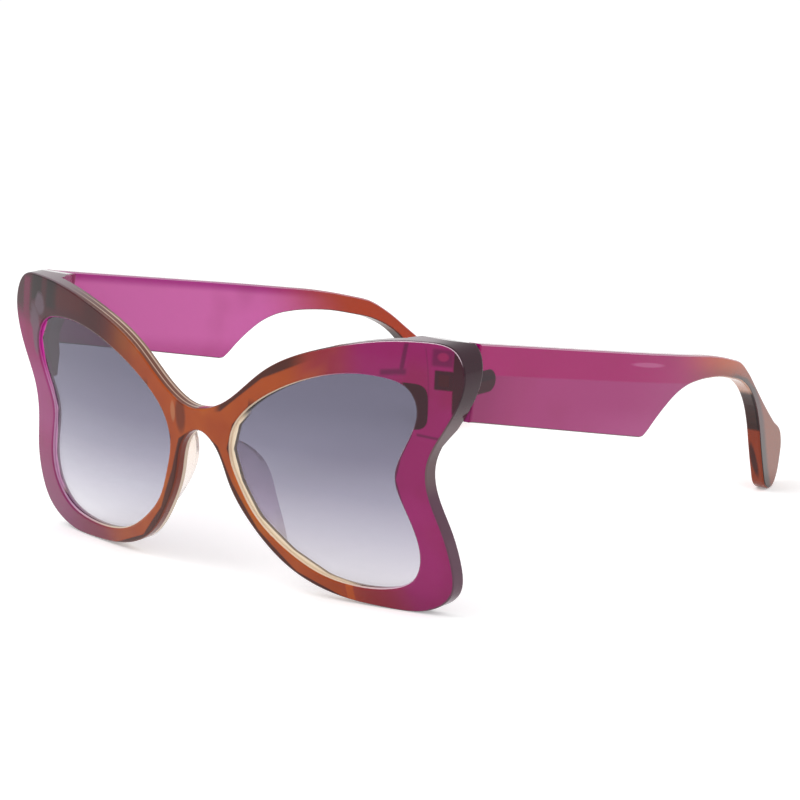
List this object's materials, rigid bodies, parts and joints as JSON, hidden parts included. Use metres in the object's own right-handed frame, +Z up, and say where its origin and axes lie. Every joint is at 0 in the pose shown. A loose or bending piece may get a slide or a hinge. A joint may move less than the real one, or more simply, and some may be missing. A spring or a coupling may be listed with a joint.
{
  "type": "butterfly sunglasses",
  "caption": "Oversize butterfly sunglasses: flared rims waisted at the side, curved tinted lenses, wide flat temples that narrow to a drooped tip, and screw hinges that fold.",
  "frame": {"origin": "middle of the underside of the bounding box, on the plane that the rims and temple tips stand on", "axes": "+X to the wearer's left, +Y from the front back along the open temples, +Z up"},
  "size_m": [0.1402, 0.1648, 0.0643],
  "materials": {
    "frame_plastic": "gloss, translucent, magenta at the wings to orange brown at the bridge",
    "temple_plastic": "gloss, translucent, magenta at the front to orange brown at the tip",
    "lens_plastic": "clear, graded grey tint, darker at the top",
    "pad_plastic": "clear cream",
    "hinge_metal": "satin",
    "screw_metal": "satin"
  },
  "bodies": {
    "front": {"front_frame": "frame_plastic", "lens_left": "lens_plastic", "lens_right": "lens_plastic", "nose_pad_left": "pad_plastic", "nose_pad_right": "pad_plastic", "front_hinge_leaf_left": "hinge_metal", "front_hinge_leaf_right": "hinge_metal", "hinge_screw_left": "screw_metal", "hinge_screw_right": "screw_metal"},
    "left_temple": {"temple_left": "temple_plastic", "temple_hinge_leaf_left": "hinge_metal"},
    "right_temple": {"temple_right": "temple_plastic", "temple_hinge_leaf_right": "hinge_metal"}
  },
  "joints": [
    {"name": "temple_left_fold", "type": "hinge", "parent": "front", "child": "left_temple", "pos_m": [0.0623, -0.06339, 0.05468], "axis": [0, 0, 1], "range_deg": [0, 87.5]},
    {"name": "temple_right_fold", "type": "hinge", "parent": "front", "child": "right_temple", "pos_m": [-0.0623, -0.06339, 0.05468], "axis": [0, 0, -1], "range_deg": [0, 72]}
  ]
}
